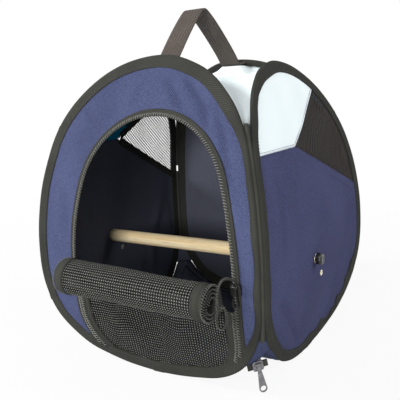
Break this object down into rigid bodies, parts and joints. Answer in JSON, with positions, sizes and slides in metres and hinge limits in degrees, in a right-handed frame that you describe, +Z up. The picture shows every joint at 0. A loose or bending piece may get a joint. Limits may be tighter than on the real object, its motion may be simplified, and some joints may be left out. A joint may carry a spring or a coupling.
{
  "type": "bird travel carrier",
  "caption": "Soft spring-framed travel carrier for a small bird, with a roll-down mesh door, mesh side windows, a wooden perch, a zip-out floor and a top strap handle.",
  "frame": {"origin": "middle of the floor where it stands, under the widest part of the walls", "axes": "+Z up, -Y out of the front wall with the door, +X to the right seen from the front"},
  "size_m": [0.2826, 0.3086, 0.3605],
  "materials": {
    "navy_cloth": "woven twill, matt",
    "light_blue_cloth": "woven, matt",
    "black_mesh": "open net",
    "edge_tape": "ribbed tape",
    "webbing": "woven webbing",
    "zip_tape": "zip tape and coil",
    "zip_metal_black": "black lacquer",
    "zip_metal_grey": "dark grey satin metal",
    "spring_wire": "spring steel",
    "perch_wood": "bare sanded wood",
    "knob_plastic": "black gloss",
    "eyelet_metal": "pale plated metal"
  },
  "bodies": {
    "carrier": {"front_edge_binding": "edge_tape", "front_hoop_wire": "spring_wire", "right_edge_binding": "edge_tape", "right_hoop_wire": "spring_wire", "back_edge_binding": "edge_tape", "back_hoop_wire": "spring_wire", "left_edge_binding": "edge_tape", "left_hoop_wire": "spring_wire", "front_panel": "navy_cloth", "back_panel": "navy_cloth", "right_lower_panel": "navy_cloth", "right_upper_panel": "light_blue_cloth", "right_window_mesh": "black_mesh", "right_perch_eyelet": "eyelet_metal", "left_lower_panel": "navy_cloth", "left_upper_panel": "light_blue_cloth", "left_window_mesh": "black_mesh", "left_perch_eyelet": "eyelet_metal", "perch": "perch_wood", "door_opening_zip": "zip_tape", "left_door_zip": "zip_tape", "right_door_zip": "zip_tape", "door_screen": "black_mesh", "roof_panel": "light_blue_cloth", "floor_rim": "navy_cloth", "front_right_gusset": "navy_cloth", "back_right_gusset": "navy_cloth", "back_left_gusset": "navy_cloth", "front_left_gusset": "navy_cloth", "base_zip": "zip_tape", "handle_front_foot": "webbing", "handle_back_foot": "webbing", "handle_front_patch": "webbing", "handle_back_patch": "webbing"},
    "door_roll": {"door_roll": "black_mesh"},
    "left_door_slider": {"left_door_slider": "zip_metal_black"},
    "right_door_slider": {"right_door_slider": "zip_metal_black"},
    "left_door_puller": {"left_door_puller": "zip_metal_black"},
    "right_door_puller": {"right_door_puller": "zip_metal_black"},
    "left_perch_knob": {"left_perch_knob": "knob_plastic"},
    "right_perch_knob": {"right_perch_knob": "knob_plastic"},
    "floor_flap": {"floor_flap": "navy_cloth"},
    "base_slider": {"base_slider": "zip_metal_grey"},
    "base_puller": {"base_puller": "zip_metal_grey"},
    "handle": {"handle_strap": "webbing"}
  },
  "joints": [
    {"name": "door_roll_swing", "type": "hinge", "parent": "carrier", "child": "door_roll", "pos_m": [0.0135, -0.13199, 0.088], "axis": [1, 0, 0], "range_deg": [0, 55]},
    {"name": "left_door_slider_slide", "type": "slide", "parent": "carrier", "child": "left_door_slider", "axis": [0, 0.0639, -0.998], "range_m": [0, 0.03]},
    {"name": "left_door_puller_swing", "type": "hinge", "parent": "left_door_slider", "child": "left_door_puller", "pos_m": [-0.081, -0.13774, 0.10961], "axis": [-1, 0, 0], "range_deg": [0, 150]},
    {"name": "right_door_slider_slide", "type": "slide", "parent": "carrier", "child": "right_door_slider", "axis": [0, 0.0639, -0.998], "range_m": [0, 0.03]},
    {"name": "right_door_puller_swing", "type": "hinge", "parent": "right_door_slider", "child": "right_door_puller", "pos_m": [0.108, -0.13774, 0.10961], "axis": [-1, 0, 0], "range_deg": [0, 150]},
    {"name": "left_perch_knob_turn", "type": "hinge", "parent": "carrier", "child": "left_perch_knob", "pos_m": [-0.13426, -0.015, 0.105], "axis": [-1, 0, 0], "continuous": true},
    {"name": "right_perch_knob_turn", "type": "hinge", "parent": "carrier", "child": "right_perch_knob", "pos_m": [0.13426, -0.015, 0.105], "axis": [1, 0, 0], "continuous": true},
    {"name": "floor_flap_open", "type": "hinge", "parent": "carrier", "child": "floor_flap", "pos_m": [0, -0.1075, 0], "axis": [-1, 0, 0], "range_deg": [0, 80]},
    {"name": "base_slider_slide", "type": "slide", "parent": "carrier", "child": "base_slider", "axis": [0.6964, 0.6964, 0.1736], "range_m": [-0.004, 0.004]},
    {"name": "base_puller_swing", "type": "hinge", "parent": "base_slider", "child": "base_puller", "pos_m": [0.11916, -0.11962, 0.03407], "axis": [-0.6964, -0.6964, -0.1736], "range_deg": [0, 120]},
    {"name": "handle_flop", "type": "hinge", "parent": "carrier", "child": "handle", "pos_m": [0, 0, 0.322], "axis": [0, 1, 0], "range_deg": [-80, 80], "deforming": ["handle_front_foot", "handle_back_foot"]}
  ]
}
